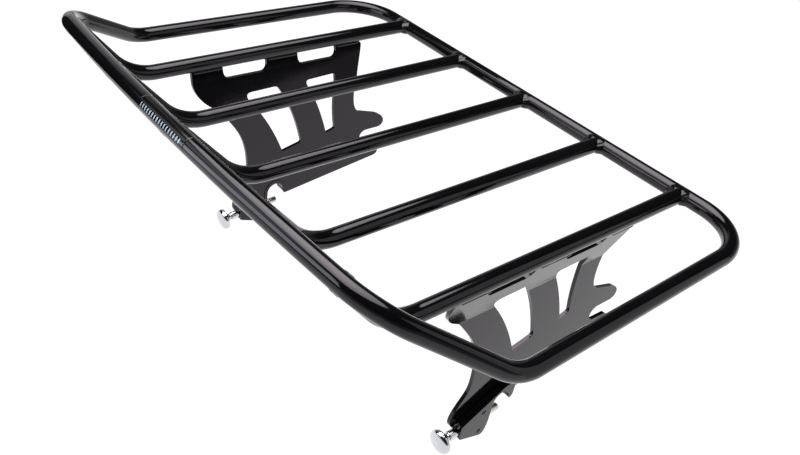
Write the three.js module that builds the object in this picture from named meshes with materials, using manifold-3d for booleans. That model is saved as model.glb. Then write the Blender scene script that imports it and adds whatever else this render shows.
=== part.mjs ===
// Detachable luggage rack for a motorcycle, in millimetres, +Z up.
// The deck is a bent steel tube loop with five welded bars. Two laser-cut side plates hang below it.
// Each plate hooks onto the machine's docking studs: an open slot in front, a notch with a
// spring-loaded cross pin behind. Pulling the two knobs to the rear frees the rack.
// +Y is the front of the machine, +X its right-hand side.
import * as THREE from 'three';
import { mergeVertices } from 'three/addons/utils/BufferGeometryUtils.js';
import Module from 'manifold-3d';

const wasm = await Module();
wasm.setup();

// ---------------------------------------------------------------- driving dimensions
const GAP = 0.3; // clearance kept between pieces that touch or are welded together
const TUBE_R = 6.35; // half-inch round tube
const TUBE_SIDES = 14;
const BEND_STEP = THREE.MathUtils.degToRad(13); // angle between two sections in a bend

const FRONT_HALF_WIDTH = 233; // tube centre, at the front corners
const KICK_HALF_WIDTH = 237.2; // the flat part splays a little toward the rear
const FRONT_CORNER_R = 46;
const LOOP_JOINT_Y = -120; // butt joint between the two bends of the loop
const KICK_START_Y = -253.5; // where the sides turn up
const KICK_ANGLE = THREE.MathUtils.degToRad(32.4);
const KICK_LENGTH = 88.7;
const KICK_BEND_R = 38;
const REAR_HALF_WIDTH = 195.4; // the kicked-up part tapers to this half width
const REAR_CORNER_R = 38;
const REAR_BOW = 14.2; // the rear rail bows back by this much in its middle

const BAR_X = [-168.5, -84.8, 0, 84.8, 168.5];
const BAR_BEND_Y = -290; // where the bars turn up to the rear rail
const BAR_BEND_R = 48;

const DECAL_X = [-34, 24]; // along the rear rail
const DECAL_THICKNESS = 0.3;

const PLATE_T = 3.2; // 1/8 in sheet
const PLATE_X = 157.2; // middle of the sheet, vertical part
const PLATE_TOP_Z = -(TUBE_R + GAP);
const PLATE_BEND_Z = -41; // the sheet leans out above this height
const FLANGE_SLOPE = 0.329; // sideways run per unit of height
const PLATE_BEND_R = 6;
const RELIEF_SLOTS = [[-207, -163], [-130, -87]]; // from the rear end to the front end of each
const RELIEF_BOTTOM_Z = -16.4;
const RELIEF_CORNER_R = 6;

const DOCK_SLOT = { y: -45, z: -109.4, r: 7.2 }; // front docking slot, open to the front
const DOCK_NOTCH = { y: -152.3, z: -145.5, r: 8.7 }; // rear docking notch, open below
const NOTCH_LIP = 3.5; // wall of the notch that passes through the plate

const HOUSING_X = [155.1, 165.6];
const HOUSING_SPLIT_Z = -154.3; // below this height the housing takes the plate's place
const SHOULDER = { x: 160.2, y: -178.85, z: -145.1, along: 27.9, fall: 20 }; // degrees
const LATCH_X = 160.35;
const LATCH_TILT = THREE.MathUtils.degToRad(5); // the pin's axis falls to the rear
const LATCH_ORIGIN = { y: -190.9, z: -163 }; // the axis at the housing's rear face
// Distances along the latch axis from the housing's rear face, positive to the front.
const CHAMBER_END = 26;
const CHAMBER_R = 4.3;
const BUSHING = { r: 4, bore: 2.7, rear: -8, front: 5.7 };
const PIN = { r: 3.175, tip: 43, chamfer: 0.7, stemR: 2.4, stemEnd: -15 };
const COLLAR = { r: 3.9, bore: 2.7, rear: 23.7, front: 25.7 };
const SPRING = { r: 3.3, wire: 0.4, rear: 6.6, front: 22.9, turns: 5 };
const KNOB_R = 10;
const KNOB_BACK = -9;
const KNOB_FACE = -19.9;
const CROSS_PIN = { r: 1.9, bore: 1.1, recess: 0.6 };
const CROSS_PINS = { upper: { y: -169.8, z: -149.2 }, lower: { y: -170.2, z: -169.4 } };

const PAINT = { color: 0x0b0b0d, roughness: 0.12, metalness: 0.0 };
const PLATE_PAINT = { color: 0x2b282e, roughness: 0.35, metalness: 0.0 };
const CHROME = { color: 0xe6e8ec, roughness: 0.06, metalness: 1.0 };
const ZINC = { color: 0xc2bcb2, roughness: 0.28, metalness: 1.0 };
const SPRING_STEEL = { color: 0x8d8f94, roughness: 0.35, metalness: 1.0 };
const FILM = { color: 0xd8d8d6, roughness: 0.45, metalness: 0.0 };

// ---------------------------------------------------------------- geometry helpers
const v3 = (x, y, z) => new THREE.Vector3(x, y, z);

// Keeps positions only, merges shared corners and drops triangles of no area.
function cleaned(geometry) {
  const bare = geometry.clone();
  bare.deleteAttribute('normal');
  bare.deleteAttribute('uv');
  const merged = mergeVertices(bare, 1e-4);
  const index = [];
  for (let i = 0; i < merged.index.count; i += 3) {
    const [a, b, c] = [0, 1, 2].map((k) => merged.index.getX(i + k));
    if (a !== b && b !== c && c !== a) index.push(a, b, c);
  }
  merged.setIndex(index);
  return merged;
}

function signedVolume(geometry) {
  const corner = [v3(), v3(), v3()];
  let volume = 0;
  for (let i = 0; i < geometry.index.count; i += 3) {
    corner.forEach((p, k) => p.fromBufferAttribute(geometry.attributes.position, geometry.index.getX(i + k)));
    volume += corner[0].dot(corner[1].clone().cross(corner[2])) / 6;
  }
  return volume;
}

// A closed geometry whose faces point out.
function facingOut(geometry) {
  const closed = cleaned(geometry);
  if (signedVolume(closed) < 0) {
    const flipped = Array.from(closed.index.array);
    for (let i = 0; i < flipped.length; i += 3) [flipped[i], flipped[i + 1]] = [flipped[i + 1], flipped[i]];
    closed.setIndex(flipped);
  }
  return closed;
}

function toSolid(geometry) {
  const closed = facingOut(geometry);
  return new wasm.Manifold(new wasm.Mesh({
    numProp: 3,
    vertProperties: new Float32Array(closed.attributes.position.array),
    triVerts: new Uint32Array(closed.index.array),
  }));
}

function toGeometry(solid) {
  const { numProp, vertProperties, triVerts } = solid.getMesh();
  const position = [];
  for (let i = 0; i < vertProperties.length; i += numProp) position.push(...vertProperties.slice(i, i + 3));
  const geometry = new THREE.BufferGeometry();
  geometry.setAttribute('position', new THREE.Float32BufferAttribute(position, 3));
  geometry.setIndex(Array.from(triVerts));
  return geometry;
}

function mirrored(geometry) {
  return facingOut(geometry.clone().scale(-1, 1, 1));
}

// A path through given stations. Each section stands square to the bisector of its two legs.
class StationPath extends THREE.Curve {
  constructor(points) {
    super();
    this.points = points;
  }

  leg(i) {
    const k = THREE.MathUtils.clamp(i, 0, this.points.length - 2);
    return this.points[k + 1].clone().sub(this.points[k]).normalize();
  }

  getPointAt(u, target = v3()) {
    return target.copy(this.points[Math.round(u * (this.points.length - 1))]);
  }

  getTangentAt(u, target = v3()) {
    const i = Math.round(u * (this.points.length - 1));
    return target.copy(this.leg(i - 1)).add(this.leg(i)).normalize();
  }
}

// Corner points joined by straight runs, with an arc of the given radius at each corner.
function bentPath(corners) {
  const points = [corners[0].at];
  for (let i = 1; i < corners.length - 1; i += 1) {
    const { at, r } = corners[i];
    const back = corners[i - 1].at.clone().sub(at).normalize();
    const ahead = corners[i + 1].at.clone().sub(at).normalize();
    const half = back.angleTo(ahead) / 2;
    const setback = r / Math.tan(half);
    const centre = at.clone().add(back.clone().add(ahead).normalize().multiplyScalar(r / Math.sin(half)));
    const start = at.clone().addScaledVector(back, setback).sub(centre);
    const end = at.clone().addScaledVector(ahead, setback).sub(centre);
    const turn = Math.PI - 2 * half;
    const steps = Math.max(2, Math.ceil(turn / BEND_STEP));
    for (let k = 0; k <= steps; k += 1) {
      const t = k / steps;
      const arm = start.clone().multiplyScalar(Math.sin((1 - t) * turn));
      arm.addScaledVector(end, Math.sin(t * turn)).divideScalar(Math.sin(turn));
      points.push(centre.clone().add(arm));
    }
  }
  points.push(corners[corners.length - 1].at);
  return points;
}

function roundSection(radius, sides) {
  const section = new THREE.Shape();
  for (let i = 0; i < sides; i += 1) {
    const angle = (2 * Math.PI * i) / sides;
    const place = [radius * Math.cos(angle), radius * Math.sin(angle)];
    if (i === 0) section.moveTo(...place);
    else section.lineTo(...place);
  }
  section.closePath();
  return section;
}

function tube(points, radius, sides = TUBE_SIDES) {
  const settings = { steps: points.length - 1, extrudePath: new StationPath(points) };
  return new THREE.ExtrudeGeometry(roundSection(radius, sides), settings);
}

// A prism of a side-view outline drawn in (y, z), from one x to another.
function sidePrism(outline, fromX, toX, curveSegments = 12) {
  const prism = new THREE.ExtrudeGeometry(outline, { depth: toX - fromX, bevelEnabled: false, curveSegments });
  const turn = new THREE.Matrix4().makeBasis(v3(0, 1, 0), v3(0, 0, 1), v3(1, 0, 0));
  return prism.applyMatrix4(turn).translate(fromX, 0, 0);
}

// A cylinder along x.
function crossCylinder(radius, y, z, fromX, toX, sides = 24) {
  const cylinder = new THREE.CylinderGeometry(radius, radius, toX - fromX, sides);
  return cylinder.rotateZ(Math.PI / 2).translate((fromX + toX) / 2, y, z);
}

// A turned piece: profile points are [radius, distance along the y axis].
function turned(profile, sides) {
  return facingOut(new THREE.LatheGeometry(profile.map(([r, y]) => new THREE.Vector2(r, y)), sides));
}

function mesh(name, geometry, finish) {
  const node = new THREE.Mesh(geometry, new THREE.MeshStandardMaterial(finish));
  node.name = name;
  return node;
}

// ---------------------------------------------------------------- the deck
const kickPoint = (x, along) => v3(
  x,
  KICK_START_Y - along * Math.cos(KICK_ANGLE),
  along * Math.sin(KICK_ANGLE),
);

// The rear rail bows back in the plane of the kick-up; the bow fades out down the sides.
function bowed(point) {
  const along = -(point.y - KICK_START_Y) * Math.cos(KICK_ANGLE) + point.z * Math.sin(KICK_ANGLE);
  const rise = THREE.MathUtils.clamp(along / KICK_LENGTH, 0, 1) ** 4;
  const across = Math.max(0, 1 - (point.x / REAR_HALF_WIDTH) ** 2);
  return point.clone().add(kickPoint(0, REAR_BOW * rise * across)).sub(kickPoint(0, 0));
}

// The centre of a straight side tube, before the kick-up.
function sidePoint(side, y) {
  const t = y / KICK_START_Y;
  return v3(side * THREE.MathUtils.lerp(FRONT_HALF_WIDTH, KICK_HALF_WIDTH, t), y, 0);
}

function frontLoopPath() {
  return bentPath([
    { at: sidePoint(-1, LOOP_JOINT_Y + GAP / 2) },
    { at: sidePoint(-1, 0), r: FRONT_CORNER_R },
    { at: sidePoint(1, 0), r: FRONT_CORNER_R },
    { at: sidePoint(1, LOOP_JOINT_Y + GAP / 2) },
  ]);
}

function rearLoopPath() {
  const plain = bentPath([
    { at: sidePoint(-1, LOOP_JOINT_Y - GAP / 2) },
    { at: sidePoint(-1, KICK_START_Y), r: KICK_BEND_R },
    { at: kickPoint(-REAR_HALF_WIDTH, KICK_LENGTH), r: REAR_CORNER_R },
    { at: kickPoint(REAR_HALF_WIDTH, KICK_LENGTH), r: REAR_CORNER_R },
    { at: sidePoint(1, KICK_START_Y), r: KICK_BEND_R },
    { at: sidePoint(1, LOOP_JOINT_Y - GAP / 2) },
  ]);
  const middle = plain.length / 2;
  const railSteps = 12;
  const rail = [];
  for (let i = 1; i < railSteps; i += 1) {
    rail.push(plain[middle - 1].clone().lerp(plain[middle], i / railSteps));
  }
  return [...plain.slice(0, middle), ...rail, ...plain.slice(middle)].map(bowed);
}

// Each bar is coped onto the front rail, runs flat, and bends up to meet the rear rail.
function deckBar(x, railKeepOut) {
  const rearMeet = bowed(kickPoint(x, KICK_LENGTH));
  const path = bentPath([
    { at: v3(x, 0, 0) },
    { at: v3(x, BAR_BEND_Y, 0), r: BAR_BEND_R },
    { at: rearMeet },
  ]);
  const frontKeepOut = toSolid(crossCylinder(TUBE_R + GAP, 0, 0, x - 20, x + 20, 32));
  return toGeometry(toSolid(tube(path, TUBE_R)).subtract(frontKeepOut).subtract(railKeepOut));
}

// A thin film on top of the rear rail, toward its rear side.
function decal(path) {
  const film = toSolid(tube(path, TUBE_R + GAP + DECAL_THICKNESS)).subtract(toSolid(tube(path, TUBE_R + GAP)));
  const window = new THREE.BoxGeometry(DECAL_X[1] - DECAL_X[0], 12, 12);
  const middle = bowed(kickPoint((DECAL_X[0] + DECAL_X[1]) / 2, KICK_LENGTH));
  window.translate(middle.x, middle.y - 6.2, middle.z + 6.2);
  return toGeometry(film.intersect(toSolid(window)));
}

// ---------------------------------------------------------------- the side plates
// Straight run, then a relief slot with rounded bottom corners, along the plate's top edge.
function addReliefSlot(outline, [rear, front]) {
  const cornerZ = RELIEF_BOTTOM_Z + RELIEF_CORNER_R;
  outline.lineTo(rear, PLATE_TOP_Z);
  outline.lineTo(rear, cornerZ);
  outline.absarc(rear + RELIEF_CORNER_R, cornerZ, RELIEF_CORNER_R, Math.PI, 1.5 * Math.PI, false);
  outline.absarc(front - RELIEF_CORNER_R, cornerZ, RELIEF_CORNER_R, 1.5 * Math.PI, 2 * Math.PI, false);
  outline.lineTo(front, PLATE_TOP_Z);
}

function largeWindow() {
  const hole = new THREE.Shape();
  hole.moveTo(-182, -31.6);
  hole.lineTo(-159, -31.2);
  hole.quadraticCurveTo(-154.6, -31, -152.8, -35);
  hole.quadraticCurveTo(-135.5, -61.5, -126.2, -93.6);
  hole.quadraticCurveTo(-125.2, -96.2, -127.6, -96.8);
  hole.lineTo(-146.6, -101.2);
  hole.quadraticCurveTo(-161.5, -66, -185.4, -38.4);
  hole.quadraticCurveTo(-189.6, -32, -182, -31.6);
  return hole;
}

function smallWindow() {
  const hole = new THREE.Shape();
  hole.moveTo(-120, -31.4);
  hole.lineTo(-94, -30.6);
  hole.quadraticCurveTo(-90.2, -30.4, -90.4, -34);
  hole.quadraticCurveTo(-92.8, -60, -86.4, -88.4);
  hole.quadraticCurveTo(-86.2, -90.2, -88, -90.8);
  hole.lineTo(-96.2, -93.2);
  hole.quadraticCurveTo(-106.5, -62, -122.2, -37);
  hole.quadraticCurveTo(-125.2, -31.6, -120, -31.4);
  return hole;
}

function plateOutline() {
  const o = new THREE.Shape();
  o.moveTo(-236.6, PLATE_TOP_Z);
  RELIEF_SLOTS.forEach((slot) => addReliefSlot(o, slot));
  // front edge and the finger above the docking slot
  o.lineTo(-60, PLATE_TOP_Z);
  o.quadraticCurveTo(-56.2, PLATE_TOP_Z, -57, -10.5);
  o.bezierCurveTo(-59.5, -22, -66.8, -38, -66.6, -54);
  o.bezierCurveTo(-66.4, -64, -64.4, -75.6, -56.4, -78.2);
  o.lineTo(-36, -84.4);
  o.bezierCurveTo(-29, -86.4, -23.2, -91.4, -23, -96);
  o.bezierCurveTo(-22.9, -100, -26, -102, -30, -102.1);
  o.lineTo(DOCK_SLOT.y, DOCK_SLOT.z + DOCK_SLOT.r);
  o.absarc(DOCK_SLOT.y, DOCK_SLOT.z, DOCK_SLOT.r, Math.PI / 2, 1.5 * Math.PI, false);
  // lower jaw and the slanted bottom edge
  o.lineTo(-31, -117.2);
  o.bezierCurveTo(-27, -117.5, -25, -120, -25, -124);
  o.lineTo(-25, -130);
  o.bezierCurveTo(-25, -134.6, -27.4, -136.2, -31, -136.6);
  o.lineTo(-138, -150.5);
  o.lineTo(-143, -151);
  o.lineTo(DOCK_NOTCH.y, DOCK_NOTCH.z);
  o.lineTo(-161.2, HOUSING_SPLIT_Z);
  // rear lobe beside the housing, and the concave rear edge
  o.lineTo(-192, HOUSING_SPLIT_Z);
  o.lineTo(-191.8, -156.6);
  o.bezierCurveTo(-194, -157.8, -197.8, -156.4, -198.6, -150.5);
  o.bezierCurveTo(-199.1, -146, -196.3, -140.5, -193.3, -135.5);
  o.bezierCurveTo(-188.9, -128.5, -184.9, -125, -184.7, -116);
  o.bezierCurveTo(-184.5, -104, -185.9, -89, -192.7, -74.5);
  o.bezierCurveTo(-198.3, -63, -207.3, -53, -214.3, -44);
  o.bezierCurveTo(-217.3, -40.4, -223.8, -37.6, -228.9, -32.5);
  o.bezierCurveTo(-234.9, -26.6, -237.3, -20.4, -237.1, -15);
  return o;
}

// The bent sheet, wider than the plate: vertical below, leaning out above the bend.
function bentSheet() {
  const topX = PLATE_X + FLANGE_SLOPE * (PLATE_TOP_Z - PLATE_BEND_Z);
  const middle = bentPath([
    { at: v3(PLATE_X, 0, -200) },
    { at: v3(PLATE_X, 0, PLATE_BEND_Z), r: PLATE_BEND_R },
    { at: v3(topX, 0, PLATE_TOP_Z) },
  ]);
  const path = new StationPath(middle);
  const face = (sign) => middle.map((p, i) => {
    const along = path.getTangentAt(i / (middle.length - 1));
    const offset = (sign * PLATE_T) / 2 / Math.cos(along.angleTo(path.leg(i)));
    return new THREE.Vector2(p.z - offset * along.x, p.x + offset * along.z);
  });
  const section = new THREE.Shape([...face(1), ...face(-1).reverse()]);
  const sheet = new THREE.ExtrudeGeometry(section, { depth: 260, bevelEnabled: false });
  const turn = new THREE.Matrix4().makeBasis(v3(0, 0, 1), v3(1, 0, 0), v3(0, 1, 0));
  return sheet.applyMatrix4(turn).translate(0, -250, 0);
}

function sidePlate() {
  const lipKeepOut = crossCylinder(
    DOCK_NOTCH.r + NOTCH_LIP + GAP, DOCK_NOTCH.y, DOCK_NOTCH.z, 140, 180, 36,
  );
  const { y, z } = CROSS_PINS.upper;
  const pinHole = crossCylinder(CROSS_PIN.r + GAP, y, z, 140, 180, 24);
  const windows = [largeWindow(), smallWindow()].map((hole) => sidePrism(hole, 140, 180));
  const blank = toSolid(bentSheet()).intersect(toSolid(sidePrism(plateOutline(), 140, 180)));
  return toGeometry([lipKeepOut, pinHole, ...windows].reduce((plate, cut) => plate.subtract(toSolid(cut)), blank));
}

// ---------------------------------------------------------------- the latches
function housingOutline() {
  const o = new THREE.Shape();
  o.moveTo(-191.7, -151.9);
  o.lineTo(-190.3, -167.8);
  o.lineTo(-168.6, -175.9);
  o.quadraticCurveTo(-165, -177, -163.4, -173.6);
  o.quadraticCurveTo(-161, -167.6, -161, -160);
  o.lineTo(DOCK_NOTCH.y - DOCK_NOTCH.r, DOCK_NOTCH.z);
  o.absarc(DOCK_NOTCH.y, DOCK_NOTCH.z, DOCK_NOTCH.r, Math.PI, 0, true);
  o.lineTo(-143.6, -146.4);
  o.quadraticCurveTo(-143.4, -148.6, -141.4, -148.5);
  o.quadraticCurveTo(-139, -148.2, -138.9, -143);
  o.lineTo(-138.8, -137);
  o.quadraticCurveTo(-139.2, -131.8, -144, -131.4);
  o.quadraticCurveTo(-155, -132.2, -166, -138.3);
  o.closePath();
  return o;
}

// Everything in the latch frame is turned about this axis: y runs to the front along the pin.
function inLatchFrame(geometry) {
  return geometry.rotateX(LATCH_TILT).translate(LATCH_X, LATCH_ORIGIN.y, LATCH_ORIGIN.z);
}

function axialCylinder(radius, rear, front, sides) {
  const cylinder = new THREE.CylinderGeometry(radius, radius, front - rear, sides);
  return inLatchFrame(cylinder.translate(0, (rear + front) / 2, 0));
}

// What is cut off the housing's top, so that it falls away to the outer side.
function shoulderCut() {
  const { x, y, z, along, fall } = SHOULDER;
  const cut = new THREE.BoxGeometry(20, 90, 12).translate(10, 0, 6);
  cut.rotateY(THREE.MathUtils.degToRad(fall)).rotateX(THREE.MathUtils.degToRad(along));
  return cut.translate(x, y, z);
}

// The upper half of the housing laps over the plate's outer face; the notch lip and the pin's
// barrel pass through the plate's cut-out and stand a little proud of its inner face.
function housing() {
  const lapX = PLATE_X + PLATE_T / 2 + GAP;
  const lap = new THREE.BoxGeometry(20, 80, 60);
  lap.translate(lapX - 10, DOCK_NOTCH.y - 10, HOUSING_SPLIT_Z - GAP + 30);
  const lip = crossCylinder(DOCK_NOTCH.r + NOTCH_LIP, DOCK_NOTCH.y, DOCK_NOTCH.z, 140, 180, 36);
  const chamber = axialCylinder(CHAMBER_R, -5, CHAMBER_END, 24);
  const guide = axialCylinder(PIN.r + GAP, CHAMBER_END - 1, 40, 20);
  let block = toSolid(sidePrism(housingOutline(), ...HOUSING_X))
    .subtract(toSolid(lap).subtract(toSolid(lip)))
    .subtract(toSolid(shoulderCut()))
    .subtract(toSolid(chamber))
    .subtract(toSolid(guide));
  Object.values(CROSS_PINS).forEach(({ y, z }) => {
    block = block.subtract(toSolid(crossCylinder(CROSS_PIN.r + GAP, y, z, 140, 180, 24)));
  });
  return toGeometry(block);
}

function crossPin({ y, z }) {
  const length = HOUSING_X[1] - HOUSING_X[0] - 2 * CROSS_PIN.recess;
  const { r, bore } = CROSS_PIN;
  const ring = [[bore, 0], [r, 0], [r, length], [bore, length], [bore, 0]];
  return turned(ring, 24).rotateZ(-Math.PI / 2).translate(HOUSING_X[0] + CROSS_PIN.recess, y, z);
}

function guideBushing() {
  const { r, bore, rear, front } = BUSHING;
  return turned([[bore, rear], [r - 0.5, rear], [r, rear + 0.5], [r, front], [bore, front], [bore, rear]], 24);
}

function latchPin() {
  const { r, tip, chamfer, stemR, stemEnd } = PIN;
  return turned([
    [0, stemEnd], [stemR, stemEnd], [stemR, CHAMBER_END], [r, CHAMBER_END],
    [r, tip - chamfer], [r - chamfer, tip], [0, tip],
  ], 20);
}

function pinCollar() {
  const { r, bore, rear, front } = COLLAR;
  return turned([[bore, rear], [r, rear], [r, front], [bore, front], [bore, rear]], 20);
}

class Helix extends THREE.Curve {
  getPoint(t, target = v3()) {
    const angle = 2 * Math.PI * SPRING.turns * t;
    const along = SPRING.rear + (SPRING.front - SPRING.rear) * t;
    return target.set(SPRING.r * Math.cos(angle), along, SPRING.r * Math.sin(angle));
  }
}

function latchSpring() {
  const settings = { steps: SPRING.turns * 10, extrudePath: new Helix() };
  return facingOut(new THREE.ExtrudeGeometry(roundSection(SPRING.wire, 6), settings));
}

function latchKnob() {
  const bore = PIN.stemR + GAP;
  return turned([
    [0, PIN.stemEnd - GAP], [bore, PIN.stemEnd - GAP], [bore, KNOB_BACK], [3.1, KNOB_BACK],
    [3.4, -10.2], [4.4, -11.5], [6.6, -12.7], [9.2, -13.7], [KNOB_R, -14.9], [9.9, -16.1],
    [9.1, -17.6], [7.3, -18.8], [4, -19.6], [0, KNOB_FACE],
  ], 28);
}

// The pieces on the latch axis, placed by a tilted group on either side of the rack.
function latchGroup(side, sign) {
  const group = new THREE.Group();
  group.position.set(sign * LATCH_X, LATCH_ORIGIN.y, LATCH_ORIGIN.z);
  group.rotation.x = LATCH_TILT;
  group.add(
    mesh(`${side}_guide_bushing`, guideBushing(), CHROME),
    mesh(`${side}_latch_pin`, latchPin(), ZINC),
    mesh(`${side}_pin_collar`, pinCollar(), ZINC),
    mesh(`${side}_latch_spring`, latchSpring(), SPRING_STEEL),
    mesh(`${side}_latch_knob`, latchKnob(), CHROME),
  );
  return group;
}

// ---------------------------------------------------------------- assembly
const rack = new THREE.Group();
const rearPath = rearLoopPath();
rack.add(mesh('perimeter_tube_front', facingOut(tube(frontLoopPath(), TUBE_R)), PAINT));
rack.add(mesh('perimeter_tube_rear', facingOut(tube(rearPath, TUBE_R)), PAINT));

const railKeepOut = toSolid(tube(rearPath, TUBE_R + GAP));
BAR_X.forEach((x, i) => rack.add(mesh(`deck_bar_${i + 1}`, deckBar(x, railKeepOut), PAINT)));
rack.add(mesh('rail_decal', decal(rearPath), FILM));

const rightSide = {
  side_plate: [sidePlate(), PLATE_PAINT],
  latch_housing: [housing(), PLATE_PAINT],
  cross_pin_upper: [crossPin(CROSS_PINS.upper), SPRING_STEEL],
  cross_pin_lower: [crossPin(CROSS_PINS.lower), SPRING_STEEL],
};
Object.entries(rightSide).forEach(([name, [geometry, finish]]) => {
  rack.add(mesh(`right_${name}`, geometry, finish));
  rack.add(mesh(`left_${name}`, mirrored(geometry), finish));
});
rack.add(latchGroup('right', 1), latchGroup('left', -1));

// The origin is the middle of the rack's footprint, at its lowest level.
const box = new THREE.Box3().setFromObject(rack);
const centre = box.getCenter(v3());
rack.position.set(0, -centre.y, -box.min.z);

export default rack;
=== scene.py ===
"""Looks for the detachable motorcycle luggage rack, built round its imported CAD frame.

The bent tubes, their welds, the turned latch pieces, the springs and the label are rebuilt finely
here. The cut sheet plates and the latch housings keep their CAD shape and get softened edges.
Everything is in metres. Deck coordinates put the front rail's centre line at y = 0, z = 0.
"""
import math

import bmesh
import bpy
from mathutils import Matrix, Quaternion, Vector


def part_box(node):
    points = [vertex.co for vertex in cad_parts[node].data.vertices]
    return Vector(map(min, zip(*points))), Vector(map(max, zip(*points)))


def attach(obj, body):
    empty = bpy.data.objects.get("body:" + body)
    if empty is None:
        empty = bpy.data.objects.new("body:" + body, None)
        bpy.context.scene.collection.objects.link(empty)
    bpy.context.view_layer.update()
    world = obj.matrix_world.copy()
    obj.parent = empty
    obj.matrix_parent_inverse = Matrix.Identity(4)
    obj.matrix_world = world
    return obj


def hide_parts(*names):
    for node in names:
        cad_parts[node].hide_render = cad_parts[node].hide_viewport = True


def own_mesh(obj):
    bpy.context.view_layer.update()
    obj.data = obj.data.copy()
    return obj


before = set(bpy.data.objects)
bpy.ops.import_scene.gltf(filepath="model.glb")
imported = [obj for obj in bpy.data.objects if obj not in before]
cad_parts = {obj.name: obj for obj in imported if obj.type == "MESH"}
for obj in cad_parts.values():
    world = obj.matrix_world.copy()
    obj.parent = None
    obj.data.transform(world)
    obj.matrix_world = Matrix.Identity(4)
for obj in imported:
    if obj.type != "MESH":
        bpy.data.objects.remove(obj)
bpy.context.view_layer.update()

# ------------------------------------------------------------------ driving dimensions
TUBE_R = 0.00635
CAD_TUBE_SIDES = 14  # the CAD tubes are 14-sided, so their box is a little smaller than round
TUBE_SIDES = 48
BEND_STEP = math.radians(2.5)

FRONT_HALF_WIDTH = 0.233
KICK_HALF_WIDTH = 0.2372
FRONT_CORNER_R = 0.046
KICK_START_Y = -0.2535
KICK_ANGLE = math.radians(32.4)
KICK_LENGTH = 0.0887
KICK_BEND_R = 0.038
REAR_HALF_WIDTH = 0.1954
REAR_CORNER_R = 0.038
REAR_BOW = 0.0142

BAR_X = (-0.1685, -0.0848, 0.0, 0.0848, 0.1685)
BAR_BEND_Y = -0.290
BAR_BEND_R = 0.048
AXIS_REACH = 0.03  # how far before its end a bar's axis is taken as straight

WELD_LEGS = (0.0038, 0.0026)  # at the front rail and at the rear rail
WELD_LEAN = 0.35  # how much the edge on the rail leans forward along the bar
WELD_ROOT = 0.0008  # how far the skin's edges sink into the tubes
WELD_RIPPLES = 15
WELD_LEG_RIPPLE = 0.04
WELD_LOBES = 5
WELD_LOBE_DEPTH = 0.07
WELD_LOBE_SHIFT = 40  # turns the lobes differently on each bar, in radians per metre of x
WELD_CROWN = 0.0006
WELD_CROWN_SHARES = (0.9, 0.2)  # of the crown in a closed corner, and what an open one loses
WELD_CROWN_RIPPLE = 0.14
WELD_SAG = 0.10  # of the leg, in an open corner
WELD_STEPS = 120
WELD_ACROSS = 9

PLATE_T = 0.0032
PLATE_EDGE = 0.0004
PLATE_CREASE = 40  # degrees; edges sharper than this are softened
PLATE_TABS = ((-0.2355, -0.2075), (-0.1625, -0.1305), (-0.0865, -0.0605))
TAB_BEAD_R = 0.0014
TAB_BEAD_OUT = 0.0006  # from the plate's face
TAB_BEAD_DROP = 0.0004  # below the bar's underside
TAB_BEAD_TAPER = 0.003
TAB_BEAD_END = 0.25  # of the radius, at a bead's two ends
TAB_BEAD_PITCH = 0.0016
TAB_BEAD_RIPPLE = 0.06
TAB_BEAD_STEPS = 40
HOUSING_EDGE = 0.0005
HOUSING_CREASE = 17  # degrees
EDGE_SEGMENTS = 3
CAD_MERGE = 2e-6
CAD_FLAT = math.radians(0.8)  # CAD triangles that turn less than this are one flat face

LATCH_X = 0.16035
LATCH_Y = -0.1909
LATCH_Z = -0.163
LATCH_TILT = math.radians(5)
SPRING_R = 0.0033
SPRING_WIRE = 0.0004
SPRING_REAR = 0.0066
SPRING_FRONT = 0.0229
SPRING_TURNS = 5
SPRING_TURN_STEPS = 40
CROSS_PIN_BORE = 0.55  # of the pin's radius
CROSS_PIN_EDGE = 0.0003

LABEL_X = (-0.030, 0.029)
LABEL_ANGLES = (math.radians(62), math.radians(186))  # round the rail, from the front over the top
LABEL_LIFT = 0.00012
LABEL_CORNER = 0.16  # of the label's width round the rail
LABEL_GRID = (60, 20)

CAMERA_AT = (0.41634, -0.5449, 0.32095)
CAMERA_TURN = (54.2244, -8.1484, 50.7071)  # degrees about x, y and z
CAMERA_LENS = 37.53

front_low, front_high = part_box("perimeter_tube_front")
DECK_ORIGIN = Vector((
    0,
    front_high.y - TUBE_R * math.cos(math.pi / CAD_TUBE_SIDES),
    (front_low.z + front_high.z) / 2,
))


def deck(x, y, z):
    """A point given in deck coordinates, in the row frame."""
    return DECK_ORIGIN + Vector((x, y, z))


# ------------------------------------------------------------------ mesh helpers
def finish_piece(name, mesh, material, body, nodes=(), sharp=35):
    """Shades a mesh, gives it a material, ties it to its body and hides the CAD nodes it replaces."""
    for polygon in mesh.polygons:
        polygon.use_smooth = True
    mesh.set_sharp_from_angle(angle=math.radians(sharp))
    mesh.materials.clear()
    mesh.materials.append(material)
    piece = bpy.data.objects.new(name, mesh)
    bpy.context.scene.collection.objects.link(piece)
    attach(piece, body)
    if nodes:
        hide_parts(*nodes)
    return piece


def mesh_from(name, vertices, faces):
    mesh = bpy.data.meshes.new(name)
    mesh.from_pydata([tuple(v) for v in vertices], [], faces)
    bm = bmesh.new()
    bm.from_mesh(mesh)
    bmesh.ops.recalc_face_normals(bm, faces=bm.faces)
    bm.to_mesh(mesh)
    bm.free()
    return mesh


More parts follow.
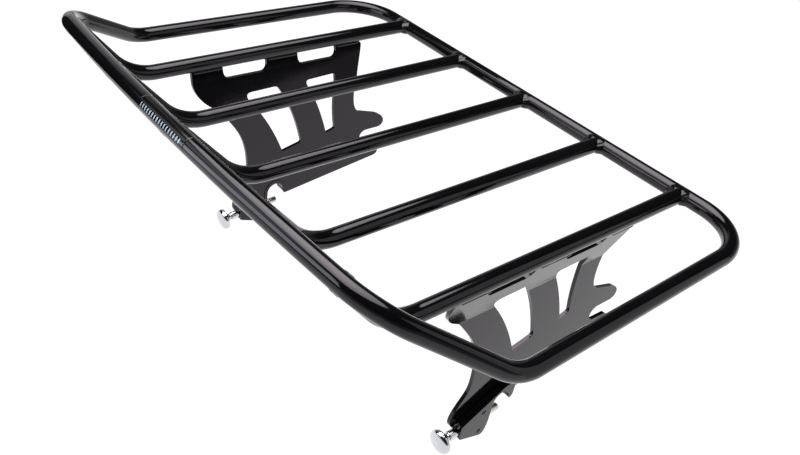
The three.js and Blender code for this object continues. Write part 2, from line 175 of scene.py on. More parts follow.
def bent_path(corners):
    """Corner points (place, radius) joined by straight runs, with an arc at each inner corner."""
    points = [corners[0][0]]
    for (before, _), (at, radius), (after, _) in zip(corners, corners[1:], corners[2:]):
        back = (before - at).normalized()
        ahead = (after - at).normalized()
        half = back.angle(ahead) / 2
        centre = at + (back + ahead).normalized() * (radius / math.sin(half))
        start = at + back * (radius / math.tan(half)) - centre
        end = at + ahead * (radius / math.tan(half)) - centre
        turn = math.pi - 2 * half
        steps = max(4, math.ceil(turn / BEND_STEP))
        for k in range(steps + 1):
            t = k / steps
            arm = start * math.sin((1 - t) * turn) + end * math.sin(t * turn)
            points.append(centre + arm / math.sin(turn))
    points.append(corners[-1][0])
    return points


def tangents(points, closed):
    count = len(points)
    result = []
    for i in range(count):
        ahead = points[(i + 1) % count] if closed or i < count - 1 else points[i]
        behind = points[i - 1] if closed or i > 0 else points[i]
        result.append((ahead - behind).normalized())
    return result


def carried_normals(along, closed):
    """Normals carried along a path without twist; a closed path spreads what is left over."""
    normal = along[0].orthogonal().normalized()
    normals = [normal]
    for before, after in zip(along, along[1:]):
        normal = before.rotation_difference(after) @ normal
        normals.append(normal.normalized())
    if closed:
        last = along[-1].rotation_difference(along[0]) @ normals[-1]
        left_over = math.atan2(last.cross(normals[0]).dot(along[0]), last.dot(normals[0]))
        for i, direction in enumerate(along):
            normals[i] = Quaternion(direction, left_over * i / len(along)) @ normals[i]
    return normals


def sweep(name, points, radius, sides=TUBE_SIDES, closed=False):
    """A round section carried along points. radius is a number, or a function of the share done."""
    along = tangents(points, closed)
    normals = carried_normals(along, closed)
    vertices = []
    for i, (point, direction, normal) in enumerate(zip(points, along, normals)):
        side = direction.cross(normal)
        r = radius(i / len(points)) if callable(radius) else radius
        for k in range(sides):
            angle = 2 * math.pi * k / sides
            vertices.append(point + (normal * math.cos(angle) + side * math.sin(angle)) * r)
    rings = len(points)
    faces = []
    for i in range(rings if closed else rings - 1):
        a, b = i * sides, ((i + 1) % rings) * sides
        for k in range(sides):
            n = (k + 1) % sides
            faces.append((a + k, a + n, b + n, b + k))
    if not closed:
        faces.append(tuple(range(sides)))
        faces.append(tuple(range((rings - 1) * sides, rings * sides)))
    return mesh_from(name, vertices, faces)


def lathe(name, profile, segments=72):
    """Turns a profile of (radius, distance along y) about the y axis. A loop profile closes."""
    closed = profile[0] == profile[-1]
    vertices, rings = [], []
    for r, y in profile[:-1] if closed else profile:
        steps = segments if r else 1
        rings.append([len(vertices) + k % steps for k in range(segments)])
        for k in range(steps):
            angle = 2 * math.pi * k / segments
            vertices.append((r * math.cos(angle), y, r * math.sin(angle)))
    if closed:
        rings.append(rings[0])
    faces = []
    for a, b in zip(rings, rings[1:]):
        for k in range(segments):
            n = (k + 1) % segments
            faces.append(tuple(dict.fromkeys((a[k], a[n], b[n], b[k]))))
    return mesh_from(name, vertices, faces)


def rounded(points, steps=6):
    """A smooth curve through the given (radius, distance) points."""
    result = []
    for i in range(len(points) - 1):
        p0, p1, p2, p3 = (Vector(points[min(max(i + k, 0), len(points) - 1)]) for k in (-1, 0, 1, 2))
        for k in range(steps):
            t = k / steps
            bend = (2 * p0 - 5 * p1 + 4 * p2 - p3) * t * t + (3 * p1 - p0 - 3 * p2 + p3) * t ** 3
            result.append(tuple((2 * p1 + (p2 - p0) * t + bend) / 2))
    result.append(tuple(points[-1]))
    return result


# ------------------------------------------------------------------ materials
PAINT_IOR = 1.43
SHEEN_SPREAD = (0.3, 0.7)  # the noise values over which a number changes
TINT_SPREAD = (0.35, 0.65)  # the noise values over which a colour changes

LABEL_IOR = 1.45
LABEL_ROUGHNESS = 0.09
LABEL_GROUND = (0.0035, 0.0035, 0.004, 1)
LABEL_INK = (0.38, 0.43, 0.50, 1)
LABEL_DASHES = 19
DASH_SLANT = 0.35
DASH_STRIPE = (0.30, 0.68)  # of the dashes' pitch
DASH_BAND = (0.60, 0.84)  # of the label's width round the rail
DASH_RUN = (0.06, 0.94)  # of the label's length
DASH_WEAR = 0.33


def add_node(tree, kind, **settings):
    node = tree.nodes.new(kind)
    for key, value in settings.items():
        setattr(node, key, value)
    return node


def set_range(node, start, end):
    """Sets a Map Range node to lead from the two start values to the two end values."""
    for name, value in zip(("From Min", "From Max", "To Min", "To Max"), (*start, *end)):
        node.inputs[name].default_value = value


class Nodes:
    """A Principled material that is built up node by node."""

    def __init__(self, name, **values):
        self.material = bpy.data.materials.new(name)
        self.material.use_nodes = True
        self.tree = self.material.node_tree
        self.shader = self.tree.nodes["Principled BSDF"]
        for socket, value in values.items():
            self.shader.inputs[socket.replace("_", " ")].default_value = value

    def add(self, kind, **settings):
        return add_node(self.tree, kind, **settings)

    def link(self, source, target):
        self.tree.links.new(source, target)

    def noise(self, scale, detail=2.0, stretch=(1, 1, 1)):
        place = self.add("ShaderNodeTexCoord")
        mapping = self.add("ShaderNodeMapping")
        mapping.inputs["Scale"].default_value = stretch
        noise = self.add("ShaderNodeTexNoise")
        noise.inputs["Scale"].default_value = scale
        noise.inputs["Detail"].default_value = detail
        self.link(place.outputs["Object"], mapping.inputs["Vector"])
        self.link(mapping.outputs["Vector"], noise.inputs["Vector"])
        return noise.outputs["Fac"]

    def vary(self, factor, socket, low, high):
        """Drives a plain number on the shader between two values by a factor."""
        spread = self.add("ShaderNodeMapRange")
        set_range(spread, SHEEN_SPREAD, (low, high))
        self.link(factor, spread.inputs["Value"])
        self.link(spread.outputs["Result"], self.shader.inputs[socket])

    def tint(self, factor, low, high):
        """Drives the base colour between two colours by a factor."""
        ramp = self.add("ShaderNodeValToRGB")
        for stop, position, color in zip(ramp.color_ramp.elements, TINT_SPREAD, (low, high)):
            stop.position = position
            stop.color = (*color, 1)
        self.link(factor, ramp.inputs["Fac"])
        self.link(ramp.outputs["Color"], self.shader.inputs["Base Color"])

    def bump(self, height, strength, distance):
        bump = self.add("ShaderNodeBump")
        bump.inputs["Strength"].default_value = strength
        bump.inputs["Distance"].default_value = distance
        self.link(height, bump.inputs["Height"])
        self.link(bump.outputs["Normal"], self.shader.inputs["Normal"])


def black_gloss(name, low, high, peel, tint):
    """Gloss black powder coat: a faint orange peel and slight changes of sheen."""
    paint = Nodes(name, IOR=PAINT_IOR, Specular_Tint=(*tint, 1))
    paint.tint(paint.noise(9, 3), (0.0021, 0.002, 0.0023), (0.0034, 0.0032, 0.0037))
    paint.vary(paint.noise(34, 3), "Roughness", low, high)
    paint.bump(paint.noise(420, 1.5), peel, 0.0002)
    return paint.material


def weld_paint():
    """The same paint over a weld bead, a little rougher and less even."""
    paint = Nodes("weld_paint", IOR=PAINT_IOR, Specular_Tint=(1.0, 0.97, 0.99, 1))
    paint.tint(paint.noise(220, 2), (0.0024, 0.0023, 0.0026), (0.0042, 0.004, 0.0045))
    paint.vary(paint.noise(160, 2), "Roughness", 0.06, 0.14)
    paint.bump(paint.noise(300, 2), 0.12, 0.0004)
    return paint.material


def chrome():
    """Bright chrome plating with slight changes of sheen."""
    plating = Nodes("chrome_plating", Metallic=1.0)
    plating.tint(plating.noise(60, 2), (0.58, 0.585, 0.61), (0.66, 0.665, 0.69))
    plating.vary(plating.noise(240, 3), "Roughness", 0.035, 0.085)
    plating.bump(plating.noise(900, 2), 0.05, 0.0001)
    return plating.material


def turned_steel(name, low, high, roughness):
    """Bare or zinc-plated steel with fine marks square to y, so round the latch pins."""
    steel = Nodes(name, Metallic=1.0, Anisotropic=0.35)
    steel.tint(steel.noise(150, 3), low, high)
    rings = steel.noise(260, 2, (0.4, 14, 0.4))
    steel.vary(rings, "Roughness", *roughness)
    steel.bump(rings, 0.12, 0.00005)
    return steel.material


def label_film():
    """A dark gloss film with a row of plain slanted dashes and no lettering."""
    film = Nodes("label_film", IOR=LABEL_IOR, Roughness=LABEL_ROUGHNESS)
    place = film.add("ShaderNodeUVMap", uv_map="label")
    split = film.add("ShaderNodeSeparateXYZ")
    film.link(place.outputs["UV"], split.inputs["Vector"])

    def math_node(operation, *values):
        node = film.add("ShaderNodeMath", operation=operation)
        for socket, value in zip(node.inputs, values):
            if isinstance(value, (int, float)):
                socket.default_value = value
            else:
                film.link(value, socket)
        return node.outputs["Value"]

    def inside(value, limits):
        low, high = limits
        above = math_node("GREATER_THAN", value, low)
        below = math_node("LESS_THAN", value, high)
        return math_node("MULTIPLY", above, below)

    u, v = split.outputs["X"], split.outputs["Y"]
    row = math_node("MULTIPLY_ADD", v, DASH_SLANT, math_node("MULTIPLY", u, LABEL_DASHES))
    stripe = inside(math_node("FRACT", row), DASH_STRIPE)
    band = math_node("MULTIPLY", inside(v, DASH_BAND), inside(u, DASH_RUN))
    printed = math_node("GREATER_THAN", film.noise(900, 3), DASH_WEAR)
    ink = math_node("MULTIPLY", math_node("MULTIPLY", stripe, band), printed)
    mix = film.add("ShaderNodeMix", data_type="RGBA")
    mix.inputs["A"].default_value = LABEL_GROUND
    mix.inputs["B"].default_value = LABEL_INK
    film.link(ink, mix.inputs["Factor"])
    film.link(mix.outputs["Result"], film.shader.inputs["Base Color"])
    return film.material


tube_paint = black_gloss("tube_gloss_black", 0.04, 0.09, 0.05, (1.0, 0.93, 1.0))
plate_paint = black_gloss("plate_gloss_black", 0.06, 0.12, 0.12, (1.0, 0.88, 1.0))
bead_paint = weld_paint()
chrome_plating = chrome()
zinc_steel = turned_steel("zinc_steel", (0.62, 0.59, 0.55), (0.74, 0.71, 0.67), (0.18, 0.34))
spring_steel = turned_steel("spring_steel", (0.42, 0.42, 0.44), (0.55, 0.55, 0.57), (0.25, 0.42))


# ------------------------------------------------------------------ the deck
def kick_point(x, along):
    """A point on the kicked-up part, some way along from its bend, before the rail is bowed."""
    rise = along * math.sin(KICK_ANGLE)
    return Vector((x, KICK_START_Y - along * math.cos(KICK_ANGLE), rise))


def bowed(point):
    """Bows the rear rail back in the plane of the kick-up; the bow fades out down the sides."""
    along = (KICK_START_Y - point.y) * math.cos(KICK_ANGLE) + point.z * math.sin(KICK_ANGLE)
    rise = min(max(along / KICK_LENGTH, 0), 1) ** 4
    across = max(0, 1 - (point.x / REAR_HALF_WIDTH) ** 2)
    return point + kick_point(0, REAR_BOW * rise * across) - kick_point(0, 0)


def loop_path():
    """The closed centre line of the perimeter tube, from the middle of the front rail."""
    half = bent_path([
        (Vector((0, 0, 0)), 0),
        (Vector((FRONT_HALF_WIDTH, 0, 0)), FRONT_CORNER_R),
        (Vector((KICK_HALF_WIDTH, KICK_START_Y, 0)), KICK_BEND_R),
        (kick_point(REAR_HALF_WIDTH, KICK_LENGTH), REAR_CORNER_R),
        (kick_point(0, KICK_LENGTH), 0),
    ])
    rail_steps = 24
    rail = [half[-2].lerp(half[-1], k / rail_steps) for k in range(1, rail_steps)]
    right = [bowed(p) for p in half[:-1] + rail + half[-1:]]
    left = [Vector((-p.x, p.y, p.z)) for p in reversed(right[1:-1])]
    return [DECK_ORIGIN + p for p in right + left]


def rail_point(x):
    """A point on the rear rail's centre line."""
    return DECK_ORIGIN + bowed(kick_point(x, KICK_LENGTH))


def rail_direction(x):
    step = 0.001
    return (rail_point(x + step) - rail_point(x - step)).normalized()


def bar_path(x):
    """A bar's centre line, from the front rail's to the rear rail's."""
    return bent_path([
        (deck(x, 0, 0), 0),
        (deck(x, BAR_BEND_Y, 0), BAR_BEND_R),
        (rail_point(x), 0),
    ])


def radial(point, on_axis, direction):
    """The unit direction from an axis straight out to a point."""
    arm = point - on_axis
    return (arm - direction * arm.dot(direction)).normalized()


def crease_point(bar_at, bar_dir, rail_at, rail_dir, around):
    """Where the line along the bar's surface that starts at `around` runs into the rail's surface."""
    start = bar_at + around * TUBE_R
    offset = start - rail_at
    offset -= rail_dir * offset.dot(rail_dir)
    flat = bar_dir - rail_dir * bar_dir.dot(rail_dir)
    a, b = flat.dot(flat), offset.dot(flat)
    inside = max(b * b - a * (offset.dot(offset) - TUBE_R ** 2), 0)
    return start + bar_dir * ((-b - math.sqrt(inside)) / a)


def fillet_section(bar_at, bar_dir, rail_at, rail_dir, leg, turn, around):
    """One section of a fillet weld, from inside the bar over the crown to inside the rail."""
    crease = crease_point(bar_at, bar_dir, rail_at, rail_dir, around)
    on_rail = radial(crease, rail_at, rail_dir)
    away = around + bar_dir * WELD_LEAN
    away = (away - on_rail * away.dot(on_rail)).normalized()
    ripple = math.sin(WELD_RIPPLES * turn)
    lobe = math.sin(WELD_LOBES * turn + bar_at.x * WELD_LOBE_SHIFT)
    reach = leg * (1 + WELD_LEG_RIPPLE * ripple + WELD_LOBE_DEPTH * lobe)
    near = crease - bar_dir * reach
    far = crease + away * reach
    along_rail = rail_dir * (far - rail_at).dot(rail_dir)
    far = rail_at + along_rail + radial(far, rail_at, rail_dir) * TUBE_R
    up = (around + on_rail).normalized()
    open_by = min(1 - around.dot(on_rail), 1)
    closed_share, lost_share = WELD_CROWN_SHARES
    crown = WELD_CROWN * (closed_share - lost_share * open_by) * (1 + WELD_CROWN_RIPPLE * ripple)
    height = crown - open_by * WELD_SAG * leg
    section = [near - around * WELD_ROOT]
    for j in range(WELD_ACROSS + 1):
        t = j / WELD_ACROSS
        section.append(near.lerp(far, t) + up * (4 * t * (1 - t) * height))
    section.append(far - on_rail * WELD_ROOT)
    return section


def weld_fillet(name, bar_at, bar_dir, rail_at, rail_dir, leg):
    """A fillet weld round the end of a bar: a rippled skin from the bar's surface to the rail's."""
    first = bar_dir.cross(rail_dir).normalized()
    second = bar_dir.cross(first)
    vertices = []
    for k in range(WELD_STEPS):
        turn = 2 * math.pi * k / WELD_STEPS
        around = first * math.cos(turn) + second * math.sin(turn)
        vertices += fillet_section(bar_at, bar_dir, rail_at, rail_dir, leg, turn, around)
    ring = WELD_ACROSS + 3
    faces = []
    for k in range(WELD_STEPS):
        a, b = k * ring, ((k + 1) % WELD_STEPS) * ring
        for j in range(ring):
            n = (j + 1) % ring
            faces.append((a + j, a + n, b + n, b + j))
    return mesh_from(name, vertices, faces)


def join_meshes(name, parts):
    bm = bmesh.new()
    for part in parts:
        bm.from_mesh(part)
        bpy.data.meshes.remove(part)
    mesh = bpy.data.meshes.new(name)
    bm.to_mesh(mesh)
    bm.free()
    return mesh


def build_deck():
    loop = sweep("perimeter_loop", loop_path(), TUBE_R, closed=True)
    nodes = ("perimeter_tube_front", "perimeter_tube_rear")
    finish_piece("perimeter_loop", loop, tube_paint, "rack", nodes)
    for i, x in enumerate(BAR_X, 1):
        path = bar_path(x)
        bar = sweep(f"bar_{i}", path, TUBE_R)
        finish_piece(f"bar_{i}", bar, tube_paint, "rack", (f"deck_bar_{i}",))
        kick = (path[-1] - path[-2]).normalized()
        ends = (
            (deck(x, -AXIS_REACH, 0), Vector((0, 1, 0)), deck(x, 0, 0), Vector((1, 0, 0))),
            (rail_point(x) - kick * AXIS_REACH, kick, rail_point(x), rail_direction(x)),
        )
        fillets = [weld_fillet("fillet", *end, leg) for end, leg in zip(ends, WELD_LEGS)]
        weld = join_meshes(f"bar_{i}_welds", fillets)
        finish_piece(f"bar_{i}_welds", weld, bead_paint, "rack")


def label_point(x, angle):
    """A point on the label: the angle runs round the rail from the front over the top."""
    along = rail_direction(x)
    front = Vector((0, 1, 0))
    front = (front - along * front.dot(along)).normalized()
    up = along.cross(front)
    return rail_point(x) + (front * math.cos(angle) + up * math.sin(angle)) * (TUBE_R + LABEL_LIFT)


def build_label():
    """A thin film with round corners, wrapped on the rear rail."""
    columns, rows = LABEL_GRID
    first, last = LABEL_X
    low, high = LABEL_ANGLES
    vertices, coordinates = [], []
    for i in range(columns + 1):
        u = i / columns
        x = first + (last - first) * u
        end = min(u, 1 - u) * (last - first) / (high - low) / TUBE_R
        short = max(LABEL_CORNER - end, 0)
        inset = LABEL_CORNER - math.sqrt(max(LABEL_CORNER ** 2 - short ** 2, 0))
        for j in range(rows + 1):
            v = inset + (1 - 2 * inset) * j / rows
            vertices.append(label_point(x, low + (high - low) * v))
            coordinates.append((u, v))
    faces = []
    for i in range(columns):
        for j in range(rows):
            a = i * (rows + 1) + j
            faces.append((a, a + 1, a + rows + 2, a + rows + 1))
    mesh = mesh_from("label", vertices, faces)
    layer = mesh.uv_layers.new(name="label")
    for loop in mesh.loops:
        layer.data[loop.index].uv = coordinates[loop.vertex_index]
    piece = finish_piece("rail_label", mesh, label_film(), "rack", ("rail_decal",))
    thickness = piece.modifiers.new("thickness", "SOLIDIFY")
    thickness.thickness = LABEL_LIFT
    thickness.offset = -1


# ------------------------------------------------------------------ plates and latches
def softened(node, name, width, crease):
    """A painted copy of a CAD solid: flat faces made whole, edges sharper than crease rounded."""
    bm = bmesh.new()
    bm.from_mesh(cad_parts[node].data)
    bmesh.ops.remove_doubles(bm, verts=bm.verts, dist=CAD_MERGE)
    bmesh.ops.dissolve_limit(bm, angle_limit=CAD_FLAT, verts=bm.verts, edges=bm.edges)
    mesh = bpy.data.meshes.new(name)
    bm.to_mesh(mesh)
    bm.free()
    piece = finish_piece(name, mesh, plate_paint, "rack", (node,), sharp=crease)
    bevel = piece.modifiers.new("edges", "BEVEL")
    bevel.width = width
    bevel.segments = EDGE_SEGMENTS
    bevel.limit_method = "ANGLE"
    bevel.angle_limit = math.radians(crease)
    weights = piece.modifiers.new("flat_faces", "WEIGHTED_NORMAL")
    weights.keep_sharp = True


def tab_bead(x, rear, front):
    """A rippled bead along a tab's top, which tapers at both ends."""
    length = front - rear

    def radius(share):
        ends = min(share, 1 - share) * length / TAB_BEAD_TAPER
        ripple = 1 + TAB_BEAD_RIPPLE * math.sin(share * length / TAB_BEAD_PITCH * 2 * math.pi)
        return TAB_BEAD_R * min(1, TAB_BEAD_END + ends) * ripple

    steps = [length * k / TAB_BEAD_STEPS for k in range(TAB_BEAD_STEPS + 1)]
    points = [deck(x, rear + step, -TUBE_R - TAB_BEAD_DROP) for step in steps]
    return sweep("bead", points, radius, sides=16)


def tab_welds(side, sign):
    """Fillet beads along the plate's three tabs, on both faces, under the outer bar."""
    beads = []
    reach = PLATE_T / 2 + TAB_BEAD_OUT
    for rear, front in PLATE_TABS:
        for face in (-1, 1):
            beads.append(tab_bead(sign * (abs(BAR_X[0]) + face * reach), rear, front))
    name = f"{side}_tab_welds"
    finish_piece(name, join_meshes(name, beads), bead_paint, "rack")


def latch_matrix(sign):
    """From the latch's own frame, y forward along the pin, to the row frame."""
    place = Matrix.Translation(deck(sign * LATCH_X, LATCH_Y, LATCH_Z))
    return place @ Matrix.Rotation(LATCH_TILT, 4, "X")


def latch_piece(name, profile, sign, material, body, node):
    """A turned piece on the latch's axis."""
    mesh = lathe(name, profile)
    mesh.transform(latch_matrix(sign))
    finish_piece(name, mesh, material, body, (node,), sharp=50)


# Turned outlines, as (radius, distance forward along the pin's axis).
KNOB = (
    [(0.0027, -0.0153), (0.0027, -0.009), (0.0030, -0.009)]
    + rounded([(0.0032, -0.0092), (0.0034, -0.0104), (0.0042, -0.0116), (0.0062, -0.0126),
               (0.0086, -0.0133), (0.0097, -0.0140), (0.0100, -0.0151), (0.0099, -0.0163),
               (0.0091, -0.0177), (0.0073, -0.0188), (0.0040, -0.0195), (0.0, -0.0197)], 8)
)
BUSHING = [
    (0.0027, -0.008), (0.0035, -0.008), (0.0039, -0.0078), (0.004, -0.0074), (0.004, 0.0054),
    (0.0037, 0.0057), (0.0027, 0.0057), (0.0027, -0.008),
]
PIN = [
    (0.0, -0.015), (0.0022, -0.015), (0.0024, -0.0148), (0.0024, 0.026), (0.003175, 0.026),
    (0.003175, 0.0421), (0.0030, 0.0426), (0.0026, 0.0429), (0.0, 0.043),
]
COLLAR = [
    (0.0027, 0.0237), (0.0037, 0.0237), (0.0039, 0.0239), (0.0039, 0.0255), (0.0037, 0.0257),
    (0.0027, 0.0257), (0.0027, 0.0237),
]


def cross_pin(side, sign, level):
    """A short hollow pin across the housing, with chamfered ends."""
    node = f"{side}_cross_pin_{level}"
    low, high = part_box(node)
    r, length = (high.z - low.z) / 2, high.x - low.x
    bore = r * CROSS_PIN_BORE
    soft = CROSS_PIN_EDGE
    profile = [
        (bore, 0), (r - soft, 0), (r, soft), (r, length - soft), (r - soft, length), (bore, length),
        (bore, 0),
    ]
    mesh = lathe(node, profile, 40)
    turn = Matrix.Rotation(-math.pi / 2, 4, "Z")
    middle = (low + high) / 2
    mesh.transform(Matrix.Translation((low.x, middle.y, middle.z)) @ turn)
    finish_piece(f"{side}_{level}_cross_pin", mesh, spring_steel, "rack", (node,))


def latch_spring(side, sign):
    """A helix round the pin at its rest length; on the real latch it shortens as the knob is pulled.
    """
    steps = SPRING_TURNS * SPRING_TURN_STEPS
    place = latch_matrix(sign)
    length = SPRING_FRONT - SPRING_REAR
    points = []
    for k in range(steps + 1):
        angle = 2 * math.pi * SPRING_TURNS * k / steps
        along = SPRING_REAR + length * k / steps
        points.append(place @ Vector((SPRING_R * math.cos(angle), along, SPRING_R * math.sin(angle))))
    mesh = sweep(f"{side}_spring", points, SPRING_WIRE, sides=12)
    piece = finish_piece(
        f"{side}_spring", mesh, spring_steel, "rack", (f"{side}_latch_spring",),
    )
    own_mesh(piece)


def build_side(side, sign):
    """One side's plate, latch and welds; sign is 1 on the right and -1 on the left."""
    softened(f"{side}_side_plate", f"{side}_plate", PLATE_EDGE, PLATE_CREASE)
    softened(f"{side}_latch_housing", f"{side}_housing", HOUSING_EDGE, HOUSING_CREASE)
    tab_welds(side, sign)
    for level in ("upper", "lower"):
        cross_pin(side, sign, level)
    latch = f"{side}_latch"
    turned = (
        ("bushing", BUSHING, chrome_plating, "rack", "chrome", "guide_bushing"),
        ("pin", PIN, zinc_steel, latch, "zinc", "latch_pin"),
        ("collar", COLLAR, zinc_steel, latch, "zinc", "pin_collar"),
        ("knob", KNOB, chrome_plating, latch, "chrome", "latch_knob"),
    )
    for name, profile, material, body, slot, node in turned:
        latch_piece(f"{side}_{name}", profile, sign, material, body, f"{side}_{node}")
    latch_spring(side, sign)


# ------------------------------------------------------------------ studio
WHITE = (1, 1, 1, 1)
FLOOR_REACH = 9.0
FLOOR_DROP = 0.0004
FLOOR_FADE = (1.4, 2.6)  # metres from the rack's middle, between which the floor's glow falls
FLOOR_GLOW = (1.0, 0.3)  # near and far
ROOM_FADE = (0.02, 0.35)  # the up component of a direction, from pale to dark
ROOM_TONES = ((0.30, 0.30, 0.31, 1), (0.02, 0.02, 0.022, 1))
SIDE_GLOW_TO = (-0.93, 0.3, 0.2)
SIDE_GLOW_FADE = (0.875, 0.985)  # closeness to that direction, between which the glow rises
SIDE_GLOW = 0.58
DISC_CORE = 0.08  # of a disc light's width: the radius of its even middle


def build_floor():
    """A white floor that glows evenly near the rack and falls off far away."""
    floor = Nodes("studio_floor", Roughness=0.9, Specular_IOR_Level=0.1)
    floor.tint(floor.noise(0.6, 1), (0.07, 0.07, 0.07), (0.08, 0.08, 0.08))
    floor.shader.inputs["Emission Color"].default_value = WHITE
    away = floor.add("ShaderNodeVectorMath", operation="LENGTH")
    place = floor.add("ShaderNodeTexCoord")
    floor.link(place.outputs["Object"], away.inputs[0])
    fade = floor.add("ShaderNodeMapRange", interpolation_type="SMOOTHSTEP")
    set_range(fade, FLOOR_FADE, FLOOR_GLOW)
    floor.link(away.outputs["Value"], fade.inputs["Value"])
    floor.link(fade.outputs["Result"], floor.shader.inputs["Emission Strength"])
    mesh = bpy.data.meshes.new("studio_floor")
    signs = ((-1, -1), (1, -1), (1, 1), (-1, 1))
    corners = [(x * FLOOR_REACH, y * FLOOR_REACH, 0) for x, y in signs]
    mesh.from_pydata(corners, [], [(0, 1, 2, 3)])
    mesh.materials.append(floor.material)
    piece = bpy.data.objects.new("studio_floor", mesh)
    bpy.context.scene.collection.objects.link(piece)
    piece.location.z = -FLOOR_DROP


def radial_fade(tree, core, rim):
    """A disc light's strength: full at its middle, easing to core near its rim, then to nothing."""
    place = add_node(tree, "ShaderNodeNewGeometry")
    centred = add_node(tree, "ShaderNodeVectorMath", operation="DISTANCE")
    centred.inputs[1].default_value = (0.5, 0.5, 0)
    tree.links.new(place.outputs["Parametric"], centred.inputs[0])
    ramp = add_node(tree, "ShaderNodeValToRGB")
    ramp.color_ramp.interpolation = "EASE"
    stops = ramp.color_ramp.elements
    stops[0].position = DISC_CORE
    stops[0].color = WHITE
    stops[1].position = 0.5 - rim
    stops[1].color = (core, core, core, 1)
    edge = stops.new(0.5)
    edge.color = (0, 0, 0, 1)
    tree.links.new(centred.outputs["Value"], ramp.inputs["Fac"])
    return ramp.outputs["Color"]


def panel_fade(tree, rim):
    """A rectangular light's strength: even, with soft edges."""
    place = add_node(tree, "ShaderNodeNewGeometry")
    split = add_node(tree, "ShaderNodeSeparateXYZ")
    tree.links.new(place.outputs["Parametric"], split.inputs["Vector"])
    sides = []
    for axis in ("X", "Y"):
        centred = add_node(tree, "ShaderNodeMath", operation="SUBTRACT")
        centred.inputs[1].default_value = 0.5
        tree.links.new(split.outputs[axis], centred.inputs[0])
        away = add_node(tree, "ShaderNodeMath", operation="ABSOLUTE")
        tree.links.new(centred.outputs["Value"], away.inputs[0])
        edge = add_node(tree, "ShaderNodeMapRange", interpolation_type="SMOOTHSTEP")
        set_range(edge, (0.5, 0.5 - rim), (0, 1))
        tree.links.new(away.outputs["Value"], edge.inputs["Value"])
        sides.append(edge.outputs["Result"])
    both = add_node(tree, "ShaderNodeMath", operation="MULTIPLY")
    for side, socket in zip(sides, both.inputs):
        tree.links.new(side, socket)
    return both.outputs["Value"]


def area_light(name, at, target, size, radiance, rim, color=(1, 1, 1), round_core=None, roll=0):
    """A softbox at a place in deck coordinates that faces a target; round_core makes it a disc."""
    light = bpy.data.lights.new(name, "AREA")
    light.color = color
    light.use_nodes = True
    tree = light.node_tree
    width, height = size
    if round_core is None:
        light.shape = "RECTANGLE"
        area = width * height
        strength = panel_fade(tree, rim)
    else:
        light.shape = "ELLIPSE"
        area = width * height * math.pi / 4
        strength = radial_fade(tree, round_core, rim)
    light.size, light.size_y = size
    light.energy = radiance * math.pi * area
    tree.links.new(strength, tree.nodes["Emission"].inputs["Strength"])
    lamp = bpy.data.objects.new(name, light)
    bpy.context.scene.collection.objects.link(lamp)
    lamp.location = deck(*at)
    out = (deck(*at) - deck(*target)).normalized()
    facing = Quaternion(out, roll) @ out.to_track_quat("Z", "Y")
    lamp.rotation_euler = facing.to_euler()


def reflector(name, x, across, height, glow):
    """An upright panel square to x that the camera doesn't see. With no glow it is a black flag."""
    panel = Nodes(name, Roughness=1.0, Specular_IOR_Level=0.0, Base_Color=(0.002, 0.002, 0.002, 1))
    panel.shader.inputs["Emission Color"].default_value = WHITE
    panel.shader.inputs["Emission Strength"].default_value = glow
    (near, far), (low, high) = across, height
    corners = [deck(x, y, z) for y, z in ((near, low), (far, low), (far, high), (near, high))]
    mesh = bpy.data.meshes.new(name)
    mesh.from_pydata([tuple(c) for c in corners], [], [(0, 1, 2, 3)])
    mesh.materials.append(panel.material)
    card = bpy.data.objects.new(name, mesh)
    bpy.context.scene.collection.objects.link(card)
    card.visible_camera = False
    card.visible_shadow = False


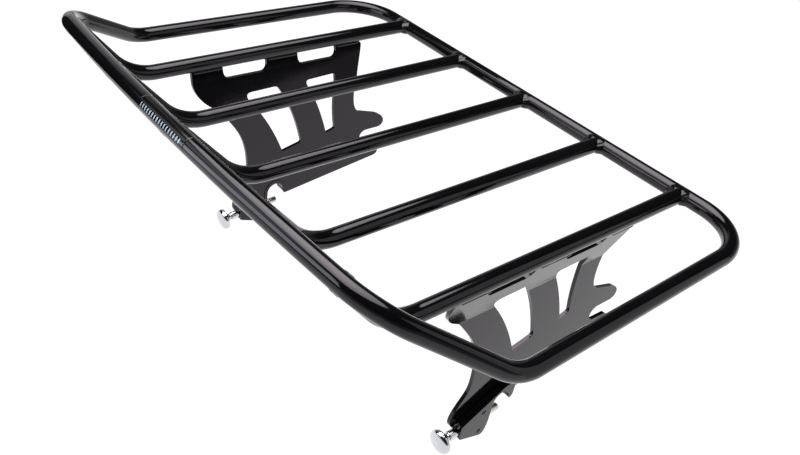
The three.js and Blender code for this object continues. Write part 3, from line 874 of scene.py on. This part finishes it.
def build_world():
    """A soft room: pale at the horizon, dark overhead, with a patch of glow low on the left."""
    world = bpy.data.worlds.new("studio_world")
    world.use_nodes = True
    tree = world.node_tree
    background = tree.nodes["Background"]
    place = add_node(tree, "ShaderNodeTexCoord")
    split = add_node(tree, "ShaderNodeSeparateXYZ")
    ramp = add_node(tree, "ShaderNodeValToRGB")
    for stop, position, tone in zip(ramp.color_ramp.elements, ROOM_FADE, ROOM_TONES):
        stop.position = position
        stop.color = tone
    tree.links.new(place.outputs["Generated"], split.inputs["Vector"])
    tree.links.new(split.outputs["Z"], ramp.inputs["Fac"])
    toward = add_node(tree, "ShaderNodeVectorMath", operation="DOT_PRODUCT")
    toward.inputs[1].default_value = SIDE_GLOW_TO
    glow = add_node(tree, "ShaderNodeMapRange")
    set_range(glow, SIDE_GLOW_FADE, (0, SIDE_GLOW))
    both = add_node(tree, "ShaderNodeVectorMath", operation="ADD")
    tree.links.new(place.outputs["Generated"], toward.inputs[0])
    tree.links.new(toward.outputs["Value"], glow.inputs["Value"])
    tree.links.new(ramp.outputs["Color"], both.inputs[0])
    tree.links.new(glow.outputs["Result"], both.inputs[1])
    tree.links.new(both.outputs["Vector"], background.inputs["Color"])
    background.inputs["Strength"].default_value = 1.0
    bpy.context.scene.world = world


def build_camera():
    data = bpy.data.cameras.new("photo_view")
    data.sensor_width = 36
    data.lens = CAMERA_LENS
    data.clip_start = 0.01
    camera = bpy.data.objects.new("photo_view", data)
    bpy.context.scene.collection.objects.link(camera)
    camera.location = deck(*CAMERA_AT)
    camera.rotation_euler = [math.radians(angle) for angle in CAMERA_TURN]
    bpy.context.scene.camera = camera


build_camera()
build_deck()
build_label()
build_side("right", 1)
build_side("left", -1)
build_floor()
build_world()
area_light(
    "overhead_disc", at=(-0.29, -0.14, 1.0), target=(-0.29, -0.14, 0), size=(1.60, 1.60),
    radiance=6.8, round_core=0.62, rim=0.05,
)
area_light(
    "rear_card", at=(-0.24, -0.75, 0.17), target=(-0.24, 0, 0.17), size=(0.58, 0.28),
    radiance=4.0, color=(0.86, 0.93, 1.0), rim=0.08, roll=math.radians(23),
)
area_light(
    "rear_fill", at=(-0.65, -0.88, 0.68), target=(0, 0, 0), size=(0.9, 0.6), radiance=1.2, rim=0.3,
)
reflector("side_card", x=0.44, across=(-0.15, 0.28), height=(-0.176, 0.47), glow=0.7)
reflector("low_flag", x=-0.45, across=(-0.78, -0.33), height=(-0.105, 0.25), glow=0)
reflector("high_flag", x=-0.45, across=(-0.14, 0.35), height=(0.27, 0.59), glow=0)
bpy.context.scene.view_settings.view_transform = "Standard"
